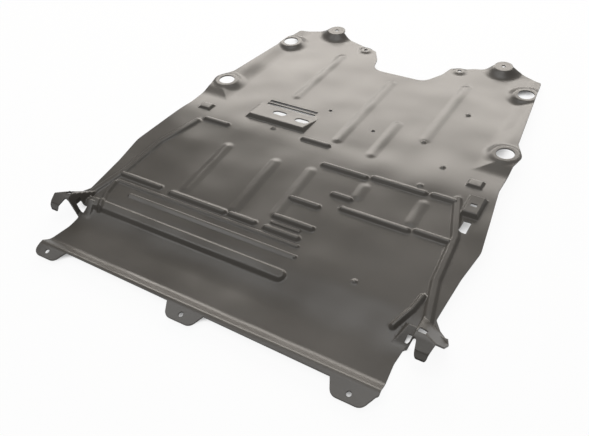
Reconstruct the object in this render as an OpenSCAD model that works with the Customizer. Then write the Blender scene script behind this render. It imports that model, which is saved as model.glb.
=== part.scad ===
// Engine splash shield: one moulded plastic sheet that closes the underside of an engine bay.
// Lengths are in millimetres. X runs across the car, +Y towards the rear edge, +Z up.
// The origin lies on the floor, at the middle of the whole length and width.

/* [Sheet] */
// Thickness of the moulded sheet
sheet_t = 3; // [2:0.5:4]
// Half width at the widest part of the sides
side_half = 386; // [370:1:400]
// Half width at the rear corners
rear_half = 320; // [310:1:330]
// Rear edge of the side corners
rear_y = 318; // [310:1:326]
// Half width of the front lip
lip_half = 352; // [342:1:356]
// Front edge of the lip at the centre line
lip_y = -608; // [-612:1:-606]
// How far each front tab stands forward of the one to its left
lip_step = 5; // [0:1:7]

/* [Side profile] */
// Height of the crest above the floor
crest_z = 28; // [18:1:40]
// Place of the crest along the sheet
crest_y = -140; // [-160:1:-130]
// Height of the fold where the sheet starts to dip
fold_z = 14; // [10:1:18]
// Place of that fold
fold_y = -445; // [-452:1:-440]
// Rear end of the trough floor
trough_rear_y = -516; // [-520:1:-510]
// Front end of the trough floor
trough_front_y = -583; // [-586:1:-578]
// Height that the trough floor gains towards its front end
trough_gain = 3; // [0:0.5:5]
// Height of the front lip above the trough floor
lip_rise = 14; // [10:1:16]
// Place where the front lip levels out
lip_top_y = -599; // [-601:1:-597]
// Slope at which the front tabs fall away from the lip
tab_slope = 14; // [8:1:18]

/* [Notch] */
// Half width of the rear notch at its mouth
notch_mouth_half = 100; // [90:1:106]
// Half width of the rear notch at its floor
notch_floor_half = 66; // [56:1:76]
// Floor of the rear notch
notch_y = 211; // [200:1:225]
// Offset of the notch from the centre line
notch_x = 8; // [0:1:12]

/* [Holes] */
// Bore of the large access holes
access_d = 36; // [28:1:40]
// Half spacing of the two rear access holes
rear_access_half = 306; // [300:1:308]
// Place of the two rear access holes
rear_access_y = 246; // [236:1:256]
// Half spacing of the two side access holes
side_access_half = 337; // [332:1:340]
// Bore of the fixing holes
fixing_d = 8.5; // [6:0.5:10]
// Half spacing of the holes beside the notch
notch_hole_half = 124; // [120:1:130]
// Place of the holes beside the notch
notch_hole_y = 297; // [292:1:299]
// Spacing of the three front tabs
front_tab_pitch = 316; // [300:1:320]
// Half width of a front tab
front_tab_half = 40; // [30:1:46]
// Place of the holes in the front tabs
front_hole_y = -620; // [-623:1:-618]
// Edge of the front tabs
front_tab_y = -633; // [-637:1:-631]
// Bore of the two drain holes in the sheet
drain_d = 7; // [5:0.5:9]

/* [Rear pads] */
// Diameter of the top of a rear pad
pad_d = 44; // [36:1:50]
// Half spacing of the rear pads
pad_half = 223; // [218:1:228]
// Place of the rear pads
pad_y = 342; // [336:1:346]
// Height of a rear pad above the sheet
pad_h = 15; // [8:1:20]

/* [Beads] */
// Height of the main cross beads
bead_h = 6; // [4:0.5:7]
// Width of the main cross beads at their foot
bead_w = 16; // [14:1:20]
// Height of the slim cross beads
slim_h = 3; // [2:0.5:3.5]
// Width of the slim cross beads at their foot
slim_w = 10; // [9:0.5:13]
// Height of the broad soft beads that run lengthways
soft_h = 3; // [2:0.5:5]
// Width of the broad soft beads at their foot
soft_w = 26; // [20:1:32]
// Slope of the bead walls from the sheet
bead_slope = 50; // [45:1:60]
// Width of the wide front bead
wide_w = 26; // [22:1:30]
// Height of the pips
pip_h = 3; // [2:0.5:4]
// Height of the level bosses round the access holes above the side flanges
boss_h = 1.5; // [1:0.5:4]

/* [Scoop] */
// Left end of the scoop
scoop_x0 = -214; // [-220:1:-205]
// Right end of the scoop
scoop_x1 = -64; // [-70:1:-55]
// Rear end of the scoop
scoop_rear_y = -16; // [-20:1:-10]
// Crest of the scoop
scoop_front_y = -100; // [-104:1:-92]
// Height of the scoop at its crest
scoop_h = 12; // [8:1:16]
// Width of the two slots behind the scoop's ramp
scoop_slot_w = 7; // [4.5:0.5:9]
// Length of an oval vent in the ramp
vent_l = 32; // [24:1:40]
// Width of an oval vent in the ramp
vent_w = 18; // [12:1:22]

/* [Corner brackets] */
// Height of the corner brackets above the floor
bracket_z = 50; // [44:1:54]
// Reach of the corner brackets from the centre line
bracket_reach = 408; // [404:1:414]
// Width of the square clip window in each bracket
clip_window = 13; // [9:1:14]
// Height of the latch blocks on the side flanges
latch_h = 9; // [6:1:12]
// Height of the rolled edge of the rear flanges
flange_h = 8; // [4:1:12]

/* [Hidden] */
$fn = 48;
plastic = "#57534e";
half_bead = tan(bead_slope / 2);
far = 460;
deep = -40;
rear_end_y = pad_y + pad_d / 2 + 56;
front_end_y = -680;
trough_z = 0;
lip_z = trough_z + lip_rise;
crest_r = 420;
fold_r = 150;
trough_r = 170;
riser_r = 20;
lip_r = 9;
tab_fold_y = -606;
tab_fold_r = 12;
rear_floor_y = 330;
boss_wall = 9;
rear_run = [[rear_floor_y, 0], [crest_y, crest_z]];
front_run = [[crest_y, crest_z], [fold_y, fold_z]];
dip_run = [[fold_y, fold_z], [trough_rear_y, trough_z]];
tall = 160;
mid_y = (front_tab_y - lip_step + pad_y + pad_d / 2) / 2;
root = 2;
pip_r = 4;
flange_x = side_access_half - 39;
flange_y = -62;
flange_slope = 15;
boss_slope = 55;
seat_h = 5;
seat_box = [[side_access_half - 37, side_access_half - 5], [-124, -98]];
notch_boss_wall = 7;
boss_drop = max(pad_h, flange_h + boss_h) + 2 * root;
tab_flare = 14;
tab_r = 16;
slot_inset = 14;
access_holes = [[rear_access_half, rear_access_y], [side_access_half, 0]];
pad_top = sheet_t + pad_h;
notch_boss_top = under_z(notch_hole_y) + sheet_t + 2;
front_tab_x = -6;
drains = [[-57, 0], [63, -32]];
vents = [[-149, -66], [-89, -72]];
slot_rows = [scoop_rear_y - 7, scoop_rear_y - 19];
scoop_foot_y = scoop_rear_y - 24;
latch_box = [[side_half - 68, side_half - 32], [-204, -148]];
latch_slope = 62;
latch_window = [[side_half - 54, side_half - 40], [-244, -214]];
latch_slot = [[side_half - 56, side_half - 44], [-182, -175]];
bracket_foot_x = bracket_reach - 61;
bracket_wall_run = 13;
bracket_fall_x = bracket_reach - 25;
bracket_fall = 50;
bracket_rear_y = -438;
bracket_run = 58;
bracket_fold_y = -502;
bracket_front_y = -540;
bracket_drop = 16;
clip_place = [bracket_reach - 39, -493];
pocket_place = [bracket_reach - 59, -492];
web_x = [bracket_reach - 88, bracket_reach - 42];
web_crest_y = -471;
web_front_y = -510;
web_z = 21;
web_rear_slope = 60;
gusset = [[bracket_reach - 73, -408], [bracket_reach - 78, -440], [bracket_reach - 94, -480]];
gusset_w = 14;
gusset_h = 6;
side_rib = [[side_half - 84, -168], [side_half - 53, -262], [side_half - 45, -368], [bracket_reach - 54, -424],
    [bracket_reach - 47, -452]];
main_beads = [[-336, -241, -380], [-208, -82, -384], [-66, -14, -383], [14, 80, -384], [14, 92, -351], [17, 74, -296],
    [86, 120, -253], [28, 119, -184], [136, 240, -179], [258, 300, -176], [120, 250, -281], [266, 326, -276],
    [-286, -231, -153], [-52, 4, -126]];
slim_beads = [[-282, 99, -424], [-334, 90, -400], [18, 74, -367]];
wide_beads = [[-345, 94, -470]];
soft_beads = [[-155, 20, 240], [12, -96, 172], [98, -112, 14], [173, -12, 228], [-188, -360, -216], [-68, -366, -218],
    [12, -344, -212], [130, -238, -210], [249, -258, -206]];
pips = [[224, -160], [241, -88], [174, -22], [218, 119], [219, -428], [-132, -120]];
claw_edge = [[-62, -5, 6], [-42, -9, 4], [-37, -30, 5], [-17, -30, 5], [-12, -6, 3], [-1, 3, 3], [0, 22, 8],
    [-6, 33, 8], [-23, 45, 10]];
flank_edge = [[-14, -441, 8], [-12, -400, 60], [-9, -345, 60], [0, -275, 60], [-12, -190, 80]];
access_edge = [[25, -110, 60], [26, -30, 20], [33, 4, 22], [12, 48, 20]];
lip_trim = 8;
lip_trim_y = 68;
fall_end = 60;

// Points of a fillet of radius c[2] at corner c, between neighbours a and b
function unit(v) = v / norm(v);
function fillet(a, c, b, n) =
    let (u = unit([a[0] - c[0], a[1] - c[1]]))
    let (w = unit([b[0] - c[0], b[1] - c[1]]))
    let (half = acos(u * w) / 2)
    let (reach = c[2] / tan(half))
    let (p = [c[0], c[1]] + u * reach)
    let (m = [c[0], c[1]] + unit(u + w) * c[2] / sin(half))
    let (turn = 180 - 2 * half)
    let (side = u[0] * w[1] - u[1] * w[0] > 0 ? -1 : 1)
    [for (i = [0:n])
        let (t = side * turn * i / n)
        let (d = p - m)
        m + [d[0] * cos(t) - d[1] * sin(t), d[0] * sin(t) + d[1] * cos(t)]];

// Outline through corners [x, y, radius], each corner rounded by its radius
function rounded(c, n = 5) =
    let (last = len(c))
    [for (i = [0:last - 1])
        let (k = c[i])
        each k[2] > 0 ? fillet(c[(i + last - 1) % last], k, c[(i + 1) % last], n) : [[k[0], k[1]]]];

// Height of the sheet's underside at a place along it, on the straight runs of the profile
function run_z(y, a, b) = a[1] + (y - a[0]) * (b[1] - a[1]) / (b[0] - a[0]);
function run_of(y) = y > crest_y ? rear_run : y > fold_y ? front_run : dip_run;
function under_z(y) = run_z(y, run_of(y)[0], run_of(y)[1]);
// How far the front tab k lies from its place at the centre line, to follow the lip's edge
function skewed(k) = -k * lip_step;
// Height of the underside of the front tabs
function tab_z(y) = lip_z - (tab_fold_y - y) * tan(tab_slope);
// Height of the level faces round the access holes
function access_top(y) = under_z(y) + sheet_t + flange_h + boss_h;
function slope_of(run) = atan((run[1][1] - run[0][1]) / (run[1][0] - run[0][0]));

// Carries what is drawn on a level sheet to the run of the sheet at this place
module on_sheet(y, inset) {
    translate([0, y, under_z(y) + sheet_t - inset])
        rotate([slope_of(run_of(y)), 0, 0])
            translate([0, -y, 0])
                children();
}

// Prism along X through the corners of a lengthways section
module along_x(points, x0, x1) {
    translate([x0, 0, 0])
        rotate([90, 0, 90])
            linear_extrude(x1 - x0)
                polygon(points);
}

// Bead with sloped walls and round ends from p to q on a level sheet
module bead(p, q, w, h, inset) {
    d = q - p;
    foot = w / 2 - inset * half_bead;
    top = max(foot - h / tan(bead_slope), 0.3);
    base_half = foot + (foot - top) * root / h;
    translate([p[0], p[1], 0])
        rotate([0, 0, atan2(d[1], d[0])]) {
            rotate([90, 0, 90])
                linear_extrude(norm(d))
                    polygon([[-base_half, -root], [base_half, -root], [top, h], [-top, h]]);
            for (e = [0, 1])
                translate([e * norm(d), 0, 0])
                    rotate([0, 0, 90 - 180 * e])
                        rotate_extrude(angle = 180)
                            polygon([[0, -root], [base_half, -root], [top, h], [0, h]]);
        }
}

// Raised block with sloped walls on a level sheet; x, y and h bound its foot and its top
module raised(x, y, h, slope, inset) {
    shrink = inset * tan(slope / 2);
    run = h / tan(slope);
    spread = root / tan(slope);
    intersection() {
        along_x([[y[0] + shrink - spread, -root], [y[1] - shrink + spread, -root],
            [y[1] - shrink - run, h], [y[0] + shrink + run, h]], x[0] - 10, x[1] + 10);
        translate([0, y[1] + 10, 0])
            rotate([90, 0, 0])
                linear_extrude(y[1] - y[0] + 20)
                    polygon([[x[0] + shrink - spread, -root], [x[1] - shrink + spread, -root],
                        [x[1] - shrink - run, h], [x[0] + shrink + run, h]]);
    }
}

// Everything below the plain sheet's top face, or below its underside with inset = sheet_t
module base(inset) {
    lift = sheet_t - inset;
    along_x(concat(
        [[front_end_y, deep], [rear_end_y, deep], [rear_end_y, lift]],
        rounded_run([[rear_floor_y, lift, 0], [crest_y, crest_z + lift, crest_r], [fold_y, fold_z + lift, fold_r],
            [trough_rear_y, trough_z + lift, trough_r], [trough_front_y, trough_z + trough_gain + lift, riser_r],
            [lip_top_y, lip_z + lift, lip_r], [tab_fold_y, lip_z + lift, tab_fold_r],
            [front_end_y, tab_z(front_end_y) + lift, 0]])), -far, far);
}

// The plain sheet with all that is moulded on it
module mould(inset) {
    base(inset);
    cross_beads(inset);
    long_beads(inset);
    side_ribs(inset);
    scoop(inset);
    flanges(inset);
    hole_bosses(inset);
    latches(inset);
    brackets(inset);
}

// Open run of corners [y, z, radius], with its two ends left sharp
function rounded_run(c, n = 5) =
    [for (i = [0:len(c) - 1])
        each c[i][2] > 0 ? fillet(c[i - 1], c[i], c[i + 1], n) : [[c[i][0], c[i][1]]]];

// Beads that run across the sheet, each from its left end to its right end at its place along the sheet
module cross_beads(inset) {
    for (b = main_beads)
        on_sheet(b[2], inset)
            bead([b[0], b[2]], [b[1], b[2]], bead_w, bead_h, inset);
    for (b = slim_beads)
        on_sheet(b[2], inset)
            bead([b[0], b[2]], [b[1], b[2]], slim_w, slim_h, inset);
    for (b = wide_beads)
        on_sheet(b[2], inset)
            bead([b[0], b[2]], [b[1], b[2]], wide_w, bead_h, inset);
}

// Broad soft beads that run lengthways, each at its place across the sheet, and the pips between them
module long_beads(inset) {
    for (b = soft_beads)
        on_sheet((b[1] + b[2]) / 2, inset)
            bead([b[0], b[1]], [b[0], b[2]], soft_w, soft_h, inset);
    for (p = pips)
        on_sheet(p[1], inset)
            translate([p[0], p[1], 0])
                pip(inset);
}

// Low round pip on a level sheet
module pip(inset) {
    shrink = inset * half_bead;
    translate([0, 0, -root])
        cylinder(pip_h + root, pip_r + (pip_h + root) / tan(bead_slope) - shrink, pip_r - shrink);
}

// Places beside a run of points, off to its left, mitred at the bends; grow lengthens both ends
function beside(c, off, grow) =
    let (last = len(c) - 1)
    [for (i = [0:last])
        let (a = unit(c[max(i, 1)] - c[max(i, 1) - 1]))
        let (b = unit(c[min(i, last - 1) + 1] - c[min(i, last - 1)]))
        let (m = unit([-a[1] - b[1], a[0] + b[0]]))
        let (end = i == 0 ? -1 : i == last ? 1 : 0)
        c[i] + m * off / (m * [-a[1], a[0]]) + (end < 0 ? b : a) * end * grow];

// Bead with sloped walls and mitred bends along a run of points on a level sheet
module bent_bead(c, w, h, inset) {
    foot = w / 2 - inset * half_bead;
    top = max(foot - h / tan(bead_slope), 0.3);
    base_half = foot + (foot - top) * root / h;
    n = len(c);
    low = concat(beside(c, base_half, base_half), beside(c, -base_half, base_half));
    high = concat(beside(c, top, top), beside(c, -top, top));
    points = concat([for (q = low) [q[0], q[1], -root]], [for (q = high) [q[0], q[1], h]]);
    polyhedron(points, concat(
        [for (i = [0:n - 2])
            each [[i, i + 1, 2 * n + i + 1, 2 * n + i], [n + i + 1, n + i, 3 * n + i, 3 * n + i + 1],
                [i + 1, i, n + i, n + i + 1], [2 * n + i, 2 * n + i + 1, 3 * n + i + 1, 3 * n + i]]],
        [[n, 0, 2 * n, 3 * n], [n - 1, 2 * n - 1, 4 * n - 1, 3 * n - 1]]));
}

// Ribs that divide the middle panel from the two side flanges
module side_ribs(inset) {
    on_sheet(-300, inset) {
        bent_bead(side_rib, bead_w, bead_h, inset);
        mirror([1, 0, 0])
            bent_bead(side_rib, bead_w, bead_h, inset);
    }
}

// Ramp with its crest to the front, and steep walls on its other sides
module scoop(inset) {
    shrink = inset * half_bead;
    side_run = scoop_h / tan(bead_slope);
    spread = root / tan(bead_slope);
    ramp = scoop_h / (scoop_foot_y - scoop_front_y);
    on_sheet(0, inset)
        intersection() {
            along_x([[scoop_foot_y + root / ramp, -root], [scoop_front_y, scoop_h],
                [scoop_front_y - side_run + shrink - spread, -root]], scoop_x0 - 10, scoop_x1 + 10);
            translate([0, scoop_rear_y, 0])
                rotate([90, 0, 0])
                    linear_extrude(scoop_rear_y - scoop_front_y + 2 * side_run)
                        polygon([[scoop_x0 + shrink - spread, -root], [scoop_x1 - shrink + spread, -root],
                            [scoop_x1 - shrink - side_run, scoop_h], [scoop_x0 + shrink + side_run, scoop_h]]);
        }
}

// Raised outer bands of the two rear flanges
module flanges(inset) {
    on_sheet(0, inset)
        for (s = [-1, 1])
            mirror([s < 0 ? 1 : 0, 0, 0])
                raised([flange_x, far], [flange_y, rear_end_y + 100], flange_h, flange_slope, inset);
}

// Level boss with a sloped wall; top is the height of its upper face
module boss(x, y, r, top, inset) {
    shrink = inset * half_bead;
    translate([x, y, top - inset - boss_drop])
        cylinder(boss_drop, r + boss_drop / tan(boss_slope) - shrink, r - shrink);
}

// Bosses round the access holes, and the two rear pads
module hole_bosses(inset) {
    for (s = [-1, 1]) {
        for (h = access_holes)
            boss(s * h[0], h[1], access_d / 2 + boss_wall, access_top(h[1]), inset);
        boss(s * pad_half, pad_y, pad_d / 2, pad_top, inset);
        boss(s * notch_hole_half + notch_x, notch_hole_y, fixing_d / 2 + notch_boss_wall, notch_boss_top, inset);
    }
}

// Latch block and small clip seats on the side flanges
module latches(inset) {
    on_sheet(-180, inset)
        raised(latch_box[0], latch_box[1], latch_h, latch_slope, inset);
    on_sheet(-100, inset)
        for (s = [-1, 1])
            mirror([s < 0 ? 1 : 0, 0, 0])
                raised(seat_box[0], seat_box[1], seat_h, bead_slope, inset);
}

// Towers at the corners between the sheet and the lip: they rise to the front, and fall to the flaps and outwards
module towers(inset) {
    top = bracket_z - inset;
    foot_z = fold_z - 2 + sheet_t;
    rear_shrink = inset * tan(atan((bracket_z - foot_z) / bracket_run) / 2);
    side_shrink = inset * tan(atan(bracket_z / bracket_wall_run) / 2);
    fall_x = bracket_fall_x - inset * tan(bracket_fall / 2);
    intersection() {
        along_x([[bracket_rear_y - rear_shrink, deep], [bracket_rear_y - rear_shrink, foot_z - inset],
            [bracket_rear_y - rear_shrink - bracket_run, top], [bracket_fold_y, top],
            [bracket_front_y, top - bracket_drop], [bracket_front_y, deep]], bracket_foot_x, far);
        translate([0, bracket_rear_y, 0])
            rotate([90, 0, 0])
                linear_extrude(bracket_rear_y - bracket_front_y)
                    polygon([[bracket_foot_x + side_shrink, deep], [fall_x + fall_end, deep],
                        [fall_x + fall_end, top - fall_end * tan(bracket_fall)], [fall_x, top],
                        [bracket_foot_x + side_shrink + bracket_wall_run, top],
                        [bracket_foot_x + side_shrink, -inset]]);
    }
}

// Web between the tower and the trough, with a steep rear face and a front face that falls to the lip
module webs(inset) {
    rear_shrink = inset * tan(web_rear_slope / 2);
    side_shrink = inset * half_bead;
    front_fall = (web_z - sheet_t) / (web_crest_y - web_front_y);
    rear_run_y = (web_z + root) / tan(web_rear_slope);
    side_run = (web_z + root) / tan(bead_slope);
    translate([0, 0, -inset])
        intersection() {
            along_x([[web_crest_y + rear_run_y - rear_shrink, -root], [web_crest_y - rear_shrink, web_z],
                [web_front_y - (sheet_t + root) / front_fall, -root]], web_x[0] - 10, web_x[1]);
            translate([0, web_crest_y + rear_run_y, 0])
                rotate([90, 0, 0])
                    linear_extrude(web_crest_y - web_front_y + rear_run_y)
                        polygon([[web_x[0] + side_shrink, -root], [web_x[0] + side_shrink + side_run, web_z],
                            [web_x[1], web_z], [web_x[1], -root]]);
        }
}

// Corner bracket of each side: a tower, the web beside it, and the ridge that closes its pocket
module brackets(inset) {
    for (s = [-1, 1])
        mirror([s < 0 ? 1 : 0, 0, 0]) {
            towers(inset);
            webs(inset);
            on_sheet(gusset[0][1], inset)
                bead(gusset[0], gusset[1], gusset_w, gusset_h, inset);
            on_sheet(gusset[2][1], inset)
                bead(gusset[1], gusset[2], gusset_w, gusset_h, inset);
        }
}

// Corners of one side of the sheet's outline, from the lip to the notch; s is the side
function side_corners(s, m) = concat(
    [[s * lip_half, lip_y - s * lip_step * lip_half / front_tab_pitch, 5],
        [s * (lip_half - lip_trim), lip_y + lip_trim_y, 60]],
    [for (c = claw_edge) [s * (bracket_reach + c[0]), bracket_fold_y + c[1], c[2]]],
    [for (c = flank_edge) [s * (side_half + c[0]), c[1], c[2]]],
    [for (c = access_edge) [s * (side_access_half + c[0]), c[1], c[2]]],
    [[s * (rear_half + 18), 150, 120],
        [s * rear_half, rear_y, 14],
        [s * (rear_half - 26), rear_y + 18, 16],
        [s * (pad_half + 38), pad_y + 9, 12],
        [s * (pad_half - 4), pad_y + 4, 0],
        [s * (pad_half - 64), pad_y - 15, 30],
        [notch_x + s * (notch_hole_half + 4), notch_hole_y + 16, 12],
        [notch_x + s * notch_mouth_half, notch_hole_y + 8, 6],
        [notch_x + s * (notch_mouth_half - m), notch_y + 56, 40],
        [notch_x + s * notch_floor_half, notch_y + 6, 30]]);

// Outline of the sheet seen from above
module plan() {
    right = side_corners(1, 8);
    left = side_corners(-1, 22);
    polygon(rounded(concat(right, [for (i = [len(left) - 1:-1:0]) left[i]])));
    for (s = [-1, 1])
        translate([s * pad_half, pad_y])
            circle(pad_d / 2);
    for (k = [-1:1]) {
        tab_x = front_tab_x + k * front_tab_pitch;
        left_foot = max(-front_tab_half, 2 - lip_half - tab_x);
        left_end = max(-front_tab_half + tab_flare, left_foot + 2);
        translate([tab_x, skewed(k)])
            polygon(rounded([[left_foot, lip_y + 3, 0], [left_end, front_tab_y, tab_r],
                [front_tab_half - tab_flare, front_tab_y, tab_r], [front_tab_half, lip_y + 3, 0]]));
    }
}

// Every opening that passes through the sheet
module openings() {
    for (s = [-1, 1]) {
        for (h = access_holes)
            translate([s * h[0], h[1], deep])
                cylinder(tall, access_d / 2, access_d / 2);
        translate([s * pad_half, pad_y, deep])
            cylinder(tall, fixing_d / 2, fixing_d / 2);
        translate([s * notch_hole_half + notch_x, notch_hole_y, deep])
            cylinder(tall, fixing_d / 2, fixing_d / 2);
        for (c = [clip_place, pocket_place])
            translate([s * c[0] - clip_window / 2, c[1] - clip_window / 2, deep])
                cube([clip_window, clip_window, tall]);
    }
    for (k = [-1:1])
        translate([front_tab_x + k * front_tab_pitch, front_hole_y + skewed(k),
            tab_z(front_hole_y + skewed(k)) + sheet_t / 2])
            rotate([tab_slope, 0, 0])
                translate([0, 0, -4 * sheet_t])
                    cylinder(8 * sheet_t, fixing_d / 2, fixing_d / 2);
    for (p = drains)
        translate([p[0], p[1], deep])
            cylinder(tall, drain_d / 2, drain_d / 2);
    for (v = vents)
        translate([v[0], v[1], deep])
            linear_extrude(tall)
                union() {
                    square([vent_l - vent_w, vent_w], center = true);
                    for (e = [-1, 1])
                        translate([e * (vent_l - vent_w) / 2, 0])
                            circle(vent_w / 2);
                }
    for (y = slot_rows)
        translate([scoop_x0 + slot_inset, y - scoop_slot_w / 2, deep])
            cube([scoop_x1 - scoop_x0 - 2 * slot_inset, scoop_slot_w, tall]);
    for (b = [latch_window, latch_slot])
        translate([b[0][0], b[1][0], deep])
            cube([b[0][1] - b[0][0], b[1][1] - b[1][0], tall]);
}

// The sheet: the mould's top face, its underside one wall lower, and the trimmed outline
module splash_shield() {
    color(plastic)
        translate([0, -mid_y, 0])
            difference() {
                intersection() {
                    translate([0, 0, deep / 2])
                        linear_extrude(tall)
                            plan();
                    difference() {
                        mould(0);
                        mould(sheet_t);
                    }
                }
                openings();
            }
}

splash_shield();
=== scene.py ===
"""The look of one engine splash shield: a single moulded plastic sheet, lying on a pale floor.

Lengths in the classes are millimetres, in the frame the sheet was laid out in: X across the car, Y towards
the rear edge, Z up from the floor. `SplashShield.place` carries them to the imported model's metres and origin.
Angles are radians.
"""

from __future__ import annotations

import logging
import math
from dataclasses import dataclass, field
from enum import Enum
from typing import Iterable

import bpy
import numpy as np
from mathutils import Matrix, Vector
from mathutils.geometry import delaunay_2d_cdt


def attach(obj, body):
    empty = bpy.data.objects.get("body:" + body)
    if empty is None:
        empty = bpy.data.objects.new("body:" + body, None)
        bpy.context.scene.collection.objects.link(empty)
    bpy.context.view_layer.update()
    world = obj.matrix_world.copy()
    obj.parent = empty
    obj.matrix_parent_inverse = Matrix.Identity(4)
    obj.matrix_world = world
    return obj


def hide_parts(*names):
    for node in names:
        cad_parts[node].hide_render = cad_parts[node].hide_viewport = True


log = logging.getLogger("splash_shield")

Array = np.ndarray
Pair = tuple[float, float]
Triple = tuple[float, float, float]

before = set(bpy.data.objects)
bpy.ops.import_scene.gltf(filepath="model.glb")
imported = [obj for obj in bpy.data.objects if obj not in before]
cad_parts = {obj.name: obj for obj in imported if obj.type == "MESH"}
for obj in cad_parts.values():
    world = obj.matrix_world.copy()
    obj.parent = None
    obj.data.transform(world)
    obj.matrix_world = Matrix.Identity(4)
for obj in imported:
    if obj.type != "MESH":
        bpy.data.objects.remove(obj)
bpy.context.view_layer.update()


class Side(Enum):
    """The two sides of the sheet, as the sign of X."""

    LEFT = -1
    RIGHT = 1


class BeadKind(Enum):
    """The kinds of bead, each with its foot width, its height and how softly its edges turn."""

    MAIN = (16.0, 6.0, 2.3)
    SLIM = (10.0, 3.0, 0.9)
    SOFT = (32.0, 2.2, 2.6)
    WIDE = (26.0, 6.0, 1.8)
    FLANK = (18.0, 4.6, 2.6)


def soft_max(a: Array, b: Array | float, k: float) -> Array:
    """The larger of two heights, with a parabola in place of the crease.

    Where the two differ by less than k, (k - difference) squared over 4 k is added to the larger.

    Args:
        a: First heights.
        b: Second heights.
        k: Height difference at which the rounding starts.

    Returns:
        The joined heights.
    """
    return np.maximum(a, b) + np.maximum(k - np.abs(a - b), 0.0) ** 2 / (4.0 * k)


def soft_min(a: Array, b: Array | float, k: float) -> Array:
    """The smaller of two heights, rounded as `soft_max` rounds.

    Args:
        a: First heights.
        b: Second heights.
        k: Height difference at which the rounding starts.

    Returns:
        The joined heights.
    """
    return -soft_max(-a, -np.asarray(b), k)


def segment_distance(x: Array, y: Array, p: Pair, q: Pair) -> Array:
    """Distance from each place to the straight stretch from p to q.

    The place is dropped square on the line, the foot is kept between the two ends, and the distance to that
    foot is taken.

    Args:
        x: Places across the sheet.
        y: Places along the sheet.
        p: One end.
        q: The other end.

    Returns:
        The distances.
    """
    dx, dy = q[0] - p[0], q[1] - p[1]
    t = np.clip(((x - p[0]) * dx + (y - p[1]) * dy) / (dx * dx + dy * dy), 0.0, 1.0)
    return np.hypot(x - p[0] - t * dx, y - p[1] - t * dy)


def fillet(before: Triple, corner: Triple, after: Triple, steps: int) -> Array:
    """Points of the arc that rounds one corner of an outline.

    The arc touches both edges at radius over the tangent of half the corner's angle from the corner.

    Args:
        before: The corner before, as x, y and radius.
        corner: The corner to round.
        after: The corner after.
        steps: Number of steps along the arc.

    Returns:
        The points, one per row.
    """
    c = np.array(corner[:2])
    u, w = (np.array(k[:2]) - c for k in (before, after))
    u, w = u / np.linalg.norm(u), w / np.linalg.norm(w)
    half = math.acos(float(u @ w)) / 2.0
    start = c + u * corner[2] / math.tan(half)
    middle = c + (u + w) / np.linalg.norm(u + w) * corner[2] / math.sin(half)
    turn = (math.pi - 2.0 * half) * (-1.0 if u[0] * w[1] - u[1] * w[0] > 0.0 else 1.0)
    t = np.linspace(0.0, turn, steps + 1)
    d, cos, sin = start - middle, np.cos(t), np.sin(t)
    return middle + np.stack([d[0] * cos - d[1] * sin, d[0] * sin + d[1] * cos], axis=1)


def rounded(corners: list[Triple], steps: int = 6) -> Array:
    """A closed outline with every corner rounded by its own radius.

    Args:
        corners: Corners as x, y and radius, in order.
        steps: Steps along each arc.

    Returns:
        The outline's points, one per row.
    """
    n = len(corners)
    runs = [
        fillet(corners[i - 1], k, corners[(i + 1) % n], steps) if k[2] > 0.0 else np.array([k[:2]])
        for i, k in enumerate(corners)
    ]
    return np.concatenate(runs)


def oblong(x: Pair, y: Pair, radius: float) -> Array:
    """A rectangle with rounded corners.

    Args:
        x: Its two ends across the sheet.
        y: Its two ends along the sheet.
        radius: Radius of its corners.

    Returns:
        The points, one per row.
    """
    return rounded([(x[0], y[0], radius), (x[1], y[0], radius), (x[1], y[1], radius), (x[0], y[1], radius)], 3)


def ring(x: float, y: float, radius: float, count: int) -> Array:
    """Points of a circle: its centre plus radius times the cosine and the sine of evenly spaced angles.

    Args:
        x: Centre across the sheet.
        y: Centre along the sheet.
        radius: Radius of the circle.
        count: Number of points.

    Returns:
        The points, one per row.
    """
    a = np.arange(count) * 2.0 * math.pi / count
    return np.stack([x + radius * np.cos(a), y + radius * np.sin(a)], axis=1)


def divided(loop: Array, step: float) -> Array:
    """The loop with extra points, so that no stretch between two is longer than step.

    Args:
        loop: Points of a closed loop.
        step: Longest stretch allowed.

    Returns:
        The points of the finer loop.
    """
    following = np.roll(loop, -1, axis=0)
    counts = np.maximum(np.ceil(np.linalg.norm(following - loop, axis=1) / step).astype(int), 1)
    first = np.repeat(np.arange(len(loop)), counts)
    part = (np.arange(len(first)) - np.repeat(np.cumsum(counts) - counts, counts)) / counts[first]
    return loop[first] + (following - loop)[first] * part[:, None]


def shifted(loop: Array, distance: float) -> Array:
    """The loop moved sideways by a distance: each point goes along the mean of its two edges' normals.

    The move is longer at a corner, by one over the mean's share of either normal. That share is kept from
    falling under a limit, so that a sharp corner doesn't run away.

    Args:
        loop: Points of a closed loop, counter-clockwise.
        distance: How far inwards each edge goes; a negative one goes outwards.

    Returns:
        The moved loop.
    """
    edge = np.roll(loop, -1, axis=0) - loop
    inward = np.stack([-edge[:, 1], edge[:, 0]], axis=1) / np.linalg.norm(edge, axis=1)[:, None]
    mean = inward + np.roll(inward, 1, axis=0)
    least_share = 0.6
    return loop + mean * distance / np.maximum((mean * inward).sum(axis=1), least_share)[:, None]


def counter_clockwise(loop: Array) -> Array:
    """The loop's points in counter-clockwise order, by the sign of its area.

    Args:
        loop: Points of a closed loop.

    Returns:
        The same points, turned round if need be.
    """
    following = np.roll(loop, -1, axis=0)
    area = (loop[:, 0] * following[:, 1] - loop[:, 1] * following[:, 0]).sum()
    return loop if area > 0.0 else loop[::-1]


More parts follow.
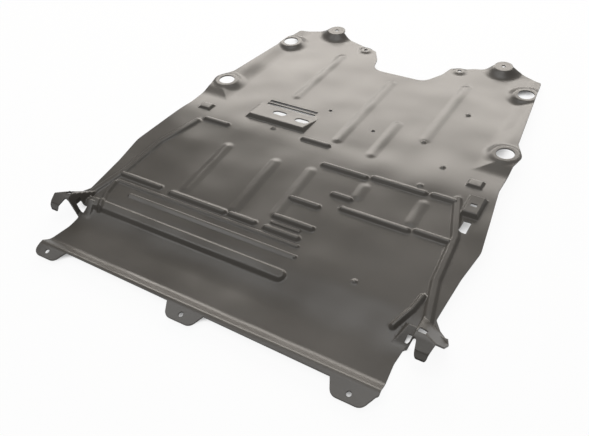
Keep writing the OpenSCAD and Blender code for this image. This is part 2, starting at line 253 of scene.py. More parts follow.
def inside(points: Array, loop: Array) -> Array:
    """Whether each point lies in the loop, by counting the edges that a ray to the right crosses.

    Args:
        points: Points to test, one per row.
        loop: Points of a closed loop.

    Returns:
        True for the points inside.
    """
    a, b = loop, np.roll(loop, -1, axis=0)
    box = ((points > loop.min(axis=0)) & (points < loop.max(axis=0))).all(axis=1)
    found = np.zeros(len(points), dtype=bool)
    x, y = points[box, 0][:, None], points[box, 1][:, None]
    spans = (a[:, 1] > y) != (b[:, 1] > y)
    rise = np.where(b[:, 1] == a[:, 1], 1.0, b[:, 1] - a[:, 1])
    at = a[:, 0] + (y - a[:, 1]) * (b[:, 0] - a[:, 0]) / rise
    found[box] = (spans & (x < at)).sum(axis=1) % 2 == 1
    return found


def covered(points: Array, solid: list[Array], openings: list[Array]) -> Array:
    """Whether each point lies on the sheet: in any of the solid loops and in none of the openings.

    Args:
        points: Points to test, one per row.
        solid: The loops whose union is the sheet.
        openings: The loops cut out of it.

    Returns:
        True for the points on the sheet.
    """
    held = np.any([inside(points, k) for k in solid], axis=0)
    return held & ~np.any([inside(points, k) for k in openings], axis=0)


def clear_of(points: Array, others: Array, gap: float) -> Array:
    """Whether each point is further than a gap from all of the others.

    Both sets are sorted into square cells as wide as the gap, and a point is measured to the others in its own
    cell and the eight round it.

    Args:
        points: Points to test, one per row.
        others: Points to keep clear of.
        gap: The least distance.

    Returns:
        True for the points that are clear.
    """
    low = np.minimum(points.min(axis=0), others.min(axis=0)) - 2.0 * gap
    cells = np.floor((others - low) / gap).astype(np.int64)
    width = int(max(cells[:, 0].max(), ((points - low) / gap)[:, 0].max())) + 4
    keys = cells[:, 1] * width + cells[:, 0]
    order = np.argsort(keys)
    keys, others = keys[order], others[order]
    own = np.floor((points - low) / gap).astype(np.int64)
    clear = np.ones(len(points), dtype=bool)
    for step in (-width - 1, -width, -width + 1, -1, 0, 1, width - 1, width, width + 1):
        want = own[:, 1] * width + own[:, 0] + step
        first, last = np.searchsorted(keys, want, "left"), np.searchsorted(keys, want, "right")
        for k in range(int((last - first).max(initial=0))):
            has = first + k < last
            away = np.linalg.norm(points[has] - others[first[has] + k], axis=1)
            clear[np.flatnonzero(has)[away < gap]] = False
    return clear


@dataclass
class SheetProfile:
    """The plain sheet: its lengthways section, which is the same all across."""

    thickness: float = 3.0
    corners: tuple[Triple, ...] = (
        (-680.0, -4.45, 0.1),
        (-606.0, 14.0, 2.0),
        (-599.0, 14.0, 3.2),
        (-583.0, 3.0, 6.5),
        (-516.0, 0.0, 20.4),
        (-445.0, 14.0, 13.0),
        (-140.0, 28.0, 22.0),
        (330.0, 0.0, 3.0),
    )

    def height(self, y: Array, inset: float) -> Array:
        """Height of the sheet's top face, or of its underside with inset equal to the thickness.

        Each corner adds its change of slope times a ramp, which is flat before it, straight after it, and a
        parabola over the corner's reach to both sides. A corner is its place, its height and that reach.

        Args:
            y: Places along the sheet.
            inset: How far below the top face.

        Returns:
            The heights.
        """
        c = np.array(self.corners)
        slopes = np.concatenate([[0.0], np.diff(c[:, 1]) / np.diff(c[:, 0]), [0.0]])
        z = np.full_like(y, c[0, 1] + self.thickness - inset)
        for (place, _, reach), change in zip(c, np.diff(slopes)):
            t = y - place
            z = z + change * np.where(np.abs(t) < reach, (t + reach) ** 2 / (4.0 * reach), np.maximum(t, 0.0))
        return z


@dataclass
class Beads:
    """The beads and pips moulded on the sheet.

    A bead across the sheet is its two ends in X and its Y. One along it is its X and its two ends in Y.
    """

    slope: float = math.radians(50.0)
    foot_margin: float = 0.3
    least_foot: float = 0.5
    pip_radius: float = 4.0
    pip_height: float = 3.0
    across: dict[BeadKind, tuple[Triple, ...]] = field(
        default_factory=lambda: {
            BeadKind.MAIN: (
                (-336, -241, -380),
                (-208, -82, -384),
                (-66, -14, -383),
                (14, 80, -384),
                (14, 92, -351),
                (17, 74, -296),
                (86, 120, -253),
                (28, 119, -184),
                (136, 240, -179),
                (258, 300, -176),
                (120, 250, -281),
                (266, 326, -276),
                (-286, -231, -153),
                (-52, 4, -126),
            ),
            BeadKind.SLIM: ((-282, 99, -424), (-334, 90, -400), (18, 74, -367)),
            BeadKind.WIDE: ((-345, 94, -470),),
        }
    )
    along: tuple[Triple, ...] = (
        (-155, 20, 240),
        (12, -96, 172),
        (98, -112, 14),
        (173, -12, 228),
        (-188, -360, -216),
        (-68, -366, -218),
        (12, -344, -212),
        (130, -238, -210),
        (249, -258, -206),
    )
    side_rib: tuple[Pair, ...] = (
        (302, -168),
        (333, -262),
        (341, -368),
        (354, -424),
        (361, -452),
    )
    pips: tuple[Pair, ...] = (
        (224, -160),
        (241, -88),
        (174, -22),
        (218, 119),
        (219, -428),
        (-132, -120),
    )

    def rise(self, distance: Array, kind: BeadKind, inset: float) -> Array:
        """Height of a bead over the sheet, by the distance from its middle line.

        A wall of constant slope from the foot, cut off level at the bead's height, with both creases rounded.
        The soft beads are the square of a cosine instead, with no crease at all.

        Args:
            distance: Distances from the middle line.
            kind: Which bead.
            inset: How far below the top face; the foot comes in by inset times the tangent of half the slope.

        Returns:
            The heights over the plain sheet.
        """
        width, height, soft = kind.value
        if kind is BeadKind.SOFT:
            return height * np.cos(np.clip(distance / width, 0.0, 0.5) * math.pi) ** 2
        foot = width / 2.0 - inset * math.tan(self.slope / 2.0)
        wall = (foot - distance) * math.tan(self.slope)
        top = min(height, max(foot - self.foot_margin, self.least_foot) * math.tan(self.slope))
        return soft_min(soft_max(wall, 0.0, soft), top, soft)

    def over(self, x: Array, y: Array, inset: float) -> Array:
        """Height of all beads and pips over the plain sheet: the greatest of them at each place.

        A pip is the square of a cosine of the distance from its middle, which ends at twice the pip's radius.

        Args:
            x: Places across the sheet.
            y: Places along the sheet.
            inset: How far below the top face.

        Returns:
            The heights over the plain sheet.
        """
        z = np.zeros_like(x)
        for kind, runs in self.across.items():
            for x0, x1, row in runs:
                away = segment_distance(x, y, (x0, row), (x1, row))
                z = np.maximum(z, self.rise(away, kind, inset))
        for column, y0, y1 in self.along:
            away = segment_distance(x, y, (column, y0), (column, y1))
            z = np.maximum(z, self.rise(away, BeadKind.SOFT, inset))
        for p, q in zip(self.side_rib, self.side_rib[1:]):
            away = segment_distance(np.abs(x), y, p, q)
            z = np.maximum(z, self.rise(away, BeadKind.FLANK, inset))
        for px, py in self.pips:
            out = np.clip(np.hypot(x - px, y - py) / (2.0 * self.pip_radius), 0.0, 1.0)
            z = np.maximum(z, self.pip_height * np.cos(out * math.pi / 2.0) ** 2)
        return z


@dataclass
class Block:
    """A raised block with sloped walls, standing on the sheet."""

    x: Pair
    y: Pair
    height: float
    slope: float
    soft: float

    def over(self, x: Array, y: Array, inset: float) -> Array:
        """Height of the block over the plain sheet: the least of its four walls and its height, or nought.

        Args:
            x: Places across the sheet.
            y: Places along the sheet.
            inset: How far below the top face.

        Returns:
            The heights over the plain sheet.
        """
        steep = math.tan(self.slope)
        shrink = inset * math.tan(self.slope / 2.0)
        sides = soft_min(x - self.x[0], self.x[1] - x, self.soft)
        ends = soft_min(y - self.y[0], self.y[1] - y, self.soft)
        wall = (soft_min(sides, ends, self.soft) - shrink) * steep
        return soft_min(soft_max(wall, 0.0, self.soft), self.height, self.soft)


@dataclass
class Scoop:
    """The vented ramp: it rises to the front, and drops there and at both ends by a steep wall."""

    x: Pair = (-214.0, -64.0)
    foot_y: float = -40.0
    crest_y: float = -100.0
    height: float = 9.0
    slope: float = math.radians(50.0)
    soft: float = 1.6
    foot_soft: float = 1.0
    slot_rows: Pair = (-23.0, -35.0)
    slot_width: float = 7.0
    slot_inset: float = 14.0
    slot_corner: float = 1.5
    vent_length: float = 32.0
    vent_width: float = 18.0
    vents: tuple[Pair, ...] = ((-149.0, -66.0), (-89.0, -72.0))

    def over(self, x: Array, y: Array, inset: float) -> Array:
        """Height of the ramp over the plain sheet: the least of its ramp, its front wall and its end walls.

        Args:
            x: Places across the sheet.
            y: Places along the sheet.
            inset: How far below the top face.

        Returns:
            The heights over the plain sheet.
        """
        steep = math.tan(self.slope)
        shrink = inset * math.tan(self.slope / 2.0)
        ramp = (self.foot_y - y) * self.height / (self.foot_y - self.crest_y)
        front = (y - self.crest_y - shrink) * steep + self.height
        ends = soft_min(x - self.x[0] - shrink, self.x[1] - shrink - x, self.soft) * steep
        return soft_max(soft_min(soft_min(ramp, front, self.soft), ends, self.soft), 0.0, self.foot_soft)

    def loops(self) -> list[Array]:
        """The openings of the ramp: two vents with half circles for ends, and two long slots behind it."""
        r = self.vent_width / 2.0
        a = np.linspace(-math.pi / 2.0, math.pi / 2.0, 13)
        cap = np.stack([np.cos(a), np.sin(a)], axis=1) * r + [self.vent_length / 2.0 - r, 0.0]
        oval = np.concatenate([cap, -cap])
        span = (self.x[0] + self.slot_inset, self.x[1] - self.slot_inset)
        h = self.slot_width / 2.0
        slots = [oblong(span, (y - h, y + h), self.slot_corner) for y in self.slot_rows]
        return [oval + v for v in np.array(self.vents)] + slots


@dataclass
class Bosses:
    """The level bosses round the holes: each is its x, its y, the radius of its top and its top's height."""

    slope: float = math.radians(38.0)
    soft: float = 2.0
    foot_soft: float = 8.0
    tops: tuple[tuple[float, float, float, float], ...] = (
        (306.0, 246.0, 27.0, 17.504),
        (337.0, 0.0, 27.0, 32.16),
        (223.0, 342.0, 22.0, 18.0),
    )
    notch_tops: tuple[tuple[float, float, float, float], ...] = ((124.0, 297.0, 11.25, 6.966),)
    notch_x: float = 8.0

    def raised(self, x: Array, y: Array, ground: Array, inset: float) -> Array:
        """The ground with the bosses: each is level inside its radius and falls at a constant slope outside it.

        Args:
            x: Places across the sheet.
            y: Places along the sheet.
            ground: Heights of what the bosses stand on.
            inset: How far below the top face.

        Returns:
            The heights with the bosses.
        """
        z = ground
        shrink = inset * math.tan(self.slope / 2.0)
        for shift, group in ((0.0, self.tops), (self.notch_x, self.notch_tops)):
            for side in Side:
                for bx, by, radius, top in group:
                    away = np.hypot(x - side.value * bx - shift, y - by)
                    cone = top - inset - (away - radius + shrink) * math.tan(self.slope)
                    z = soft_max(z, soft_min(cone, top - inset, self.soft), self.foot_soft)
        return z


@dataclass
class Brackets:
    """The corner brackets: each is a tower that falls forwards and outwards, the web beside it, and a ridge.

    The tower and the web are joined only to what lies near them, in the part of the sheet given by near_x
    and near_y, since they stay below the sheet elsewhere.
    """

    top: float = 50.0
    foot_x: float = 347.0
    wall_run: float = 13.0
    crease: tuple[Pair, Pair] = ((359.0, -487.0), (398.0, -513.0))
    fall: float = math.radians(43.5)
    rear_y: float = -438.0
    rear_z: float = 15.0
    run: float = 58.0
    fold_y: float = -502.0
    front_y: float = -540.0
    drop: float = 16.0
    end_rise: float = 3.0
    soft: float = 3.0
    foot_soft: float = 2.0
    web_x: float = 320.0
    web_crest_y: float = -471.0
    web_front_y: float = -510.0
    web_z: float = 21.0
    web_slope: float = math.radians(60.0)
    web_soft: float = 1.6
    web_foot_soft: float = 1.5
    ridge: tuple[Pair, ...] = ((335.0, -408.0), (330.0, -440.0), (314.0, -480.0))
    ridge_foot: float = 7.0
    ridge_height: float = 6.0
    ridge_slope: float = math.radians(50.0)
    ridge_soft: float = 1.4
    near_x: float = 280.0
    near_y: Pair = (-548.0, -378.0)

    def tower(self, x: Array, y: Array, inset: float) -> Array:
        """Height of the tower: the least of its rear ramp, top, front slope, outward fall, inner wall and end.

        The fall starts at the crease and goes down with the distance beyond it.

        Args:
            x: Places across the sheet, from the centre line outwards.
            y: Places along the sheet.
            inset: How far below the top face.

        Returns:
            The heights over the floor.
        """
        top = self.top - inset
        rear_rise, side_rise = (self.top - self.rear_z) / self.run, self.top / self.wall_run
        rear_shrink = inset * math.tan(math.atan(rear_rise) / 2.0)
        side_shrink = inset * math.tan(math.atan(side_rise) / 2.0)
        rear = self.rear_z - inset + (self.rear_y - rear_shrink - y) * rear_rise
        front = top + (y - self.fold_y) * self.drop / (self.fold_y - self.front_y)
        (cx, cy), (ex, ey) = self.crease
        beyond = ((x - cx) * (cy - ey) + (y - cy) * (ex - cx)) / math.hypot(ex - cx, ey - cy)
        outward = top - (beyond + inset * math.tan(self.fall / 2.0)) * math.tan(self.fall)
        inner = (x - self.foot_x - side_shrink) * side_rise - inset
        end = (y - self.front_y) * self.end_rise
        height = soft_min(soft_min(rear, front, self.soft), top, self.soft)
        for face in (outward, inner, end):
            height = soft_min(height, face, self.soft)
        return height

    def web(self, x: Array, y: Array, inset: float, thickness: float) -> Array:
        """Height of the web: the least of its steep rear face, its long front face and its inner wall.

        Args:
            x: Places across the sheet, from the centre line outwards.
            y: Places along the sheet.
            inset: How far below the top face.
            thickness: Thickness of the sheet.

        Returns:
            The heights over the floor.
        """
        crest = self.web_crest_y - inset * math.tan(self.web_slope / 2.0)
        rear = (crest - y) * math.tan(self.web_slope) + self.web_z
        front = self.web_z + (y - crest) * (self.web_z - thickness) / (self.web_crest_y - self.web_front_y)
        inner = (x - self.web_x - inset * math.tan(self.ridge_slope / 2.0)) * math.tan(self.ridge_slope)
        return soft_min(soft_min(rear, front, self.web_soft), inner, self.web_soft) - inset

    def raised(self, x: Array, y: Array, ground: Array, inset: float, thickness: float) -> Array:
        """The ground with both brackets joined on; a ridge's wall falls at its slope away from its middle line.

        Args:
            x: Places across the sheet.
            y: Places along the sheet.
            ground: Heights of what the brackets stand on.
            inset: How far below the top face.
            thickness: Thickness of the sheet.

        Returns:
            The heights with the brackets.
        """
        across = np.abs(x)
        near = (y > self.near_y[0]) & (y < self.near_y[1]) & (across > self.near_x)
        x, y, z = across[near], y[near], ground[near]
        foot = self.ridge_foot - inset * math.tan(self.ridge_slope / 2.0)
        away = np.minimum.reduce([segment_distance(x, y, p, q) for p, q in zip(self.ridge, self.ridge[1:])])
        wall = (foot - away) * math.tan(self.ridge_slope)
        z = z + soft_min(soft_max(wall, 0.0, self.ridge_soft), self.ridge_height, self.ridge_soft)
        z = soft_max(z, self.web(x, y, inset, thickness), self.web_foot_soft)
        raised = ground.copy()
        raised[near] = soft_max(z, self.tower(x, y, inset), self.foot_soft)
        return raised


@dataclass
class Outline:
    """The sheet's edge seen from above, with its tabs, its pads and its rear notch."""

    side_half: float = 386.0
    rear_half: float = 320.0
    rear_y: float = 318.0
    lip_half: float = 352.0
    lip_y: float = -608.0
    lip_step: float = 5.0
    reach: float = 408.0
    notch_x: float = 8.0
    notch_mouth: float = 100.0
    notch_floor: float = 66.0
    notch_y: float = 211.0
    notch_bulge: Pair = (22.0, 8.0)
    pad: Triple = (223.0, 342.0, 22.0)
    pad_points: int = 56
    tab_x: float = -6.0
    tab_pitch: float = 316.0
    tab_half: float = 40.0
    tab_taper: float = 14.0
    tab_corner: float = 16.0
    tab_root: float = 3.0
    tab_y: float = -633.0

    def corners(self, side: Side) -> list[Triple]:
        """Corners of one side, from the front lip round to the notch.

        Args:
            side: Which side.

        Returns:
            The corners, each as x, y and radius.
        """
        s = float(side.value)
        nx, mouth, ny = self.notch_x, self.notch_mouth, self.notch_y
        px, py, _ = self.pad
        bulge = self.notch_bulge[0 if side is Side.LEFT else 1]
        return [
            (s * self.lip_half, self.lip_y - s * self.lip_step * self.lip_half / self.tab_pitch, 5.0),
            (s * (self.lip_half - 8.0), -540.0, 60.0),
            (s * (self.lip_half - 6.0), -507.0, 6.0),
            (s * (self.reach - 42.0), -511.0, 4.0),
            (s * (self.reach - 37.0), -532.0, 5.0),
            (s * (self.reach - 17.0), -532.0, 5.0),
            (s * (self.reach - 12.0), -508.0, 3.0),
            (s * (self.reach - 1.0), -499.0, 3.0),
            (s * self.reach, -480.0, 8.0),
            (s * (self.reach - 6.0), -469.0, 8.0),
            (s * (self.reach - 23.0), -457.0, 10.0),
            (s * (self.side_half - 14.0), -441.0, 8.0),
            (s * (self.side_half - 12.0), -400.0, 60.0),
            (s * (self.side_half - 9.0), -345.0, 60.0),
            (s * self.side_half, -275.0, 60.0),
            (s * (self.side_half - 12.0), -190.0, 80.0),
            (s * 362.0, -110.0, 60.0),
            (s * 363.0, -30.0, 20.0),
            (s * 370.0, 4.0, 22.0),
            (s * 349.0, 48.0, 20.0),
            (s * (self.rear_half + 18.0), 150.0, 120.0),
            (s * self.rear_half, self.rear_y, 14.0),
            (s * (self.rear_half - 26.0), self.rear_y + 18.0, 16.0),
            (s * (px + 38.0), py + 9.0, 12.0),
            (s * (px - 4.0), py + 4.0, 0.0),
            (s * (px - 64.0), py - 15.0, 30.0),
            (nx + s * 128.0, 313.0, 12.0),
            (nx + s * mouth, 305.0, 6.0),
            (nx + s * (mouth - bulge), ny + 56.0, 40.0),
            (nx + s * self.notch_floor, ny + 6.0, 30.0),
        ]

    def tab(self, k: int) -> Array:
        """The loop of one front tab, whose outer side on the left ends with the lip.

        Args:
            k: Which tab, from -1 on the left to 1 on the right.

        Returns:
            The loop's points.
        """
        x = self.tab_x + k * self.tab_pitch
        root, clearance = self.lip_y + self.tab_root, 2.0
        foot = max(-self.tab_half, clearance - self.lip_half - x)
        end = max(-self.tab_half + self.tab_taper, foot + clearance)
        corners = [
            (foot, root, 0.0),
            (end, self.tab_y, self.tab_corner),
            (self.tab_half - self.tab_taper, self.tab_y, self.tab_corner),
            (self.tab_half, root, 0.0),
        ]
        return rounded(corners) + [x, -k * self.lip_step]

    def loops(self) -> list[Array]:
        """The loops whose union is the sheet: the main outline, the two pads and the three front tabs."""
        main = rounded(self.corners(Side.RIGHT) + self.corners(Side.LEFT)[::-1])
        px, py, radius = self.pad
        pads = [ring(side.value * px, py, radius, self.pad_points) for side in Side]
        tabs = [self.tab(k) for k in (-1, 0, 1)]
        return [main, *pads, *tabs]


@dataclass
class Holes:
    """The round holes and the windows.

    A round hole is its x, its y and its radius. A window is its two ends in X and its two ends in Y.
    """

    large: tuple[Triple, ...] = (
        (-306.0, 246.0, 18.0),
        (306.0, 246.0, 18.0),
        (-337.0, 0.0, 18.0),
        (337.0, 0.0, 18.0),
    )
    small: tuple[Triple, ...] = (
        (-223.0, 342.0, 4.25),
        (223.0, 342.0, 4.25),
        (132.0, 297.0, 4.25),
        (-116.0, 297.0, 4.25),
        (-322.0, -615.0, 4.25),
        (-6.0, -620.0, 4.25),
        (310.0, -625.0, 4.25),
        (-57.0, 0.0, 3.5),
        (63.0, -32.0, 3.5),
    )
    large_points: int = 48
    small_points: int = 24
    windows: tuple[tuple[Pair, Pair], ...] = (
        ((332.0, 346.0), (-244.0, -214.0)),
        ((330.0, 342.0), (-182.0, -175.0)),
        ((362.5, 375.5), (-499.5, -486.5)),
        ((-375.5, -362.5), (-499.5, -486.5)),
        ((342.5, 355.5), (-498.5, -485.5)),
        ((-355.5, -342.5), (-498.5, -485.5)),
    )
    window_corner: float = 1.0

    def loops(self) -> list[Array]:
        """The edges of the holes and windows."""
        return [
            *(ring(x, y, radius, self.large_points) for x, y, radius in self.large),
            *(ring(x, y, radius, self.small_points) for x, y, radius in self.small),
            *(oblong(x, y, self.window_corner) for x, y in self.windows),
        ]


@dataclass(frozen=True)
class SatinPlastic:
    """Black moulded plastic with a fine grain, a little worn and dusty."""

    name: str = "satin_moulded_plastic"
    colour: Triple = (0.062, 0.056, 0.048)
    worn_colour: Triple = (0.080, 0.073, 0.064)
    roughness: Pair = (0.30, 0.38)
    patches: Pair = (5.0, 4.0)
    patch_range: Pair = (0.32, 0.68)
    grain: Pair = (900.0, 2.0)
    grain_height: float = 0.0004
    grain_strength: float = 0.08
    waves: Pair = (7.0, 1.0)
    wave_height: float = 0.009

    def material(self) -> bpy.types.Material:
        """The plastic as a material, with every pattern on Object coordinates.

        One broad noise mixes the plain colour with the worn one, and makes the worn patches a little rougher.
        Long shallow waves and a fine grain turn the surface as bumps.

        Returns:
            The material.
        """
        material = bpy.data.materials.new(self.name)
        material.use_nodes = True
        nodes, links = material.node_tree.nodes, material.node_tree.links
        shader = nodes["Principled BSDF"]
        shader.inputs["IOR"].default_value = 1.5
        place = nodes.new("ShaderNodeTexCoord").outputs["Object"]

        def noise(pattern: Pair) -> bpy.types.NodeSocket:
            """Adds a noise to the material.

            Args:
                pattern: Its scale and its detail.

            Returns:
                Its output.
            """
            node = nodes.new("ShaderNodeTexNoise")
            node.inputs["Scale"].default_value, node.inputs["Detail"].default_value = pattern
            links.new(place, node.inputs["Vector"])
            return node.outputs["Fac"]

        patchy = nodes.new("ShaderNodeMapRange")
        patchy.inputs["From Min"].default_value, patchy.inputs["From Max"].default_value = self.patch_range
        links.new(noise(self.patches), patchy.inputs["Value"])

        tone = nodes.new("ShaderNodeMix")
        tone.data_type = "RGBA"
        tone.inputs["A"].default_value = (*self.colour, 1.0)
        tone.inputs["B"].default_value = (*self.worn_colour, 1.0)
        links.new(patchy.outputs["Result"], tone.inputs["Factor"])
        links.new(tone.outputs["Result"], shader.inputs["Base Color"])

        gloss = nodes.new("ShaderNodeMapRange")
        gloss.inputs["To Min"].default_value, gloss.inputs["To Max"].default_value = self.roughness
        links.new(patchy.outputs["Result"], gloss.inputs["Value"])
        links.new(gloss.outputs["Result"], shader.inputs["Roughness"])

        waves = nodes.new("ShaderNodeBump")
        waves.inputs["Distance"].default_value = self.wave_height
        links.new(noise(self.waves), waves.inputs["Height"])
        grain = nodes.new("ShaderNodeBump")
        grain.inputs["Strength"].default_value = self.grain_strength
        grain.inputs["Distance"].default_value = self.grain_height
        links.new(noise(self.grain), grain.inputs["Height"])
        links.new(waves.outputs["Normal"], grain.inputs["Normal"])
        links.new(grain.outputs["Normal"], shader.inputs["Normal"])
        return material


@dataclass
class SplashShield:
    """The whole shield: one sheet whose top face and underside are heights over the floor."""

    profile: SheetProfile = field(default_factory=SheetProfile)
    beads: Beads = field(default_factory=Beads)
    scoop: Scoop = field(default_factory=Scoop)
    blocks: tuple[Block, ...] = (
        Block((318.0, 354.0), (-204.0, -148.0), 9.0, math.radians(62.0), 1.2),
        Block((300.0, 332.0), (-124.0, -98.0), 5.0, math.radians(50.0), 1.2),
        Block((-332.0, -300.0), (-124.0, -98.0), 5.0, math.radians(50.0), 1.2),
        Block((298.0, 500.0), (-62.0, 600.0), 8.0, math.radians(15.0), 2.5),
        Block((-500.0, -298.0), (-62.0, 600.0), 8.0, math.radians(15.0), 2.5),
    )
    bosses: Bosses = field(default_factory=Bosses)
    brackets: Brackets = field(default_factory=Brackets)
    outline: Outline = field(default_factory=Outline)
    holes: Holes = field(default_factory=Holes)
    finish: SatinPlastic = field(default_factory=SatinPlastic)
    origin_y: float = -137.0
    edge_radius: float = 0.7
    edge_angles: tuple[float, ...] = (math.pi / 4.0, 0.0, 0.0, -math.pi / 4.0)
    rim_step: float = 5.0
    opening_step: float = 4.0
    grid_step: float = 1.6
    coarsest: int = 8
    finer: tuple[tuple[int, float], ...] = ((4, 0.012), (2, 0.035), (1, 0.22))
    rim_gap: float = 0.6
    probe: float = 0.25

    def height(self, x: Array, y: Array, inset: float) -> Array:
        """Height of the sheet's top face over the floor, or of its underside with inset equal to its thickness.

        The plain profile, plus the tallest of the beads, blocks and ramp that stand on it, with the bosses and
        the corner brackets joined on.

        Args:
            x: Places across the sheet.
            y: Places along the sheet.
            inset: How far below the top face.

        Returns:
            The heights.
        """
        forms = np.maximum(self.beads.over(x, y, inset), self.scoop.over(x, y, inset))
        for block in self.blocks:
            forms = np.maximum(forms, block.over(x, y, inset))
        ground = self.profile.height(y, inset) + forms
        ground = self.bosses.raised(x, y, ground, inset)
        return self.brackets.raised(x, y, ground, inset, self.profile.thickness)

    def normals(self, x: Array, y: Array, inset: float) -> Array:
        """Unit normals of the height surface, from its slopes between two probes close to each place.

        Args:
            x: Places across the sheet.
            y: Places along the sheet.
            inset: How far below the top face.

        Returns:
            The normals, pointing up, one per row.
        """
        d = self.probe
        sx = (self.height(x + d, y, inset) - self.height(x - d, y, inset)) / (2.0 * d)
        sy = (self.height(x, y + d, inset) - self.height(x, y - d, inset)) / (2.0 * d)
        n = np.stack([-sx, -sy, np.ones_like(sx)], axis=1)
        return n / np.linalg.norm(n, axis=1)[:, None]

    def places(self, solid: list[Array]) -> Array:
        """The grid's places that the surface needs: a coarse grid, and finer ones where the surface bends.

        The bend of a place is the sum of its second differences on the finest grid, spread to its neighbours. A
        place of the coarsest grid stays, and one of each finer grid where the bend passes that grid's limit.

        Args:
            solid: The loops whose union is the sheet.

        Returns:
            The places kept, one per row.
        """
        corners = np.concatenate(solid)
        low, high = corners.min(axis=0), corners.max(axis=0)
        nx, ny = (np.ceil((high - low) / (self.coarsest * self.grid_step)).astype(int) + 1) * self.coarsest
        x = low[0] + np.arange(nx) * self.grid_step
        y = low[1] + np.arange(ny) * self.grid_step
        gx, gy = (g.ravel() for g in np.meshgrid(x, y, indexing="ij"))
        z = self.height(gx, gy, 0.0).reshape(nx, ny)
        bend = np.zeros_like(z)
        bend[1:-1] += np.abs(z[2:] - 2.0 * z[1:-1] + z[:-2])
        bend[:, 1:-1] += np.abs(z[:, 2:] - 2.0 * z[:, 1:-1] + z[:, :-2])
        keep = np.zeros(z.shape, dtype=bool)
        keep[:: self.coarsest, :: self.coarsest] = True
        for stride, limit in self.finer:
            spread = bend
            for axis in (0, 1):
                spread = np.maximum.reduce([np.roll(spread, k, axis) for k in range(1 - stride, stride)])
            keep[::stride, ::stride] |= spread[::stride, ::stride] > limit
        return np.stack([gx[keep.ravel()], gy[keep.ravel()]], axis=1)

    def place(self, points: Array) -> Array:
        """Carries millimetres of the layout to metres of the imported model."""
        return (points - [0.0, self.origin_y, 0.0]) * 0.001

    def triangulated(self) -> tuple[Array, Array]:
        """The sheet seen from above as triangles: the loops as fixed edges, and the grid's places between them.

        Returns:
            The plan's points, and its triangles, counter-clockwise.
        """
        solid = [shifted(counter_clockwise(k), self.edge_radius) for k in self.outline.loops()]
        solid = [divided(k, self.rim_step) for k in solid]
        openings = [counter_clockwise(k) for k in [*self.scoop.loops(), *self.holes.loops()]]
        openings = [divided(shifted(k, -self.edge_radius), self.opening_step) for k in openings]
        loops = solid + openings
        grid = self.places(solid)
        grid = grid[covered(grid, solid, openings)]
        rims = np.concatenate([divided(k, self.grid_step) for k in loops])
        grid = grid[clear_of(grid, rims, self.rim_gap * self.grid_step)]

        counts = np.array([len(k) for k in loops])
        starts = np.repeat(np.cumsum(counts) - counts, counts)
        here = np.arange(len(starts))
        edges = np.stack([here, starts + (here - starts + 1) % np.repeat(counts, counts)], axis=1)
        points = np.concatenate([*loops, grid])
        found = delaunay_2d_cdt([Vector(p) for p in points.tolist()], edges.tolist(), [], 0, 1e-4, False)
        plan, triangles = np.array([tuple(v) for v in found[0]]), np.array(found[2])
        triangles = triangles[covered(plan[triangles].mean(axis=1), solid, openings)]
        used, index = np.unique(triangles, return_inverse=True)
        plan, triangles = plan[used], index.reshape(-1, 3)
        a, b, c = (plan[triangles[:, i]] for i in range(3))
        area = (b[:, 0] - a[:, 0]) * (c[:, 1] - a[:, 1]) - (b[:, 1] - a[:, 1]) * (c[:, 0] - a[:, 0])
        triangles[area < 0.0] = triangles[area < 0.0][:, ::-1]
        return plan, triangles

    @staticmethod
    def outwards(plan: Array, rim: Array, around: Array) -> Array:
        """Level unit directions away from the sheet, at the points of its rim.

        Each is the sum of the directions square to the two rim edges that meet at the point, made one long.

        Args:
            plan: The plan's points.
            rim: The rim's edges, each with the sheet on its left.
            around: Numbers of the points on the rim.

        Returns:
            The directions, one per row.
        """
        run = plan[rim[:, 1]] - plan[rim[:, 0]]
        square = np.stack([run[:, 1], -run[:, 0]], axis=1) / np.linalg.norm(run, axis=1)[:, None]
        out = np.zeros_like(plan)
        np.add.at(out, rim[:, 0], square)
        np.add.at(out, rim[:, 1], square)
        out = out[around]
        return out / np.maximum(np.linalg.norm(out, axis=1), 1e-9)[:, None]

    def surface(self) -> tuple[Array, list[list[int]], Array]:
        """The closed surface: the plan lifted to both faces, and a rounded edge between them.

        The edge runs round every open side of the plan. Its rows go out by the edge radius times the cosine of
        an angle, and down from the top face by the radius times one minus its sine. The rows of the underside
        mirror those. A wall's corners take the normals of the two rows or faces that it joins.

        Returns:
            The points, the faces as numbers of points, and a normal for each corner of each face.
        """
        plan, triangles = self.triangulated()
        n = len(plan)
        x, y = plan.T
        thickness = self.profile.thickness
        top, under = self.height(x, y, 0.0), self.height(x, y, thickness)
        up, down = self.normals(x, y, 0.0), -self.normals(x, y, thickness)

        sides = np.concatenate([triangles[:, [0, 1]], triangles[:, [1, 2]], triangles[:, [2, 0]]])
        keys, back = sides[:, 0] * n + sides[:, 1], sides[:, 1] * n + sides[:, 0]
        rim = sides[~np.isin(keys, back)]
        around, index = np.unique(rim, return_inverse=True)
        index = index.reshape(-1, 2)
        out = self.outwards(plan, rim, around)

        rows, numbers, normals = [], [rim], [up[around]]
        for i, angle in enumerate(self.edge_angles):
            depth = self.edge_radius * (1.0 - abs(math.sin(angle)))
            level = top[around] - depth if i < len(self.edge_angles) // 2 else under[around] + depth
            rows.append(np.column_stack([plan[around] + out * self.edge_radius * math.cos(angle), level]))
            numbers.append(2 * n + i * len(around) + index)
            normals.append(np.column_stack([out * math.cos(angle), np.full(len(around), math.sin(angle))]))
        numbers.append(rim + n)
        normals.append(down[around])

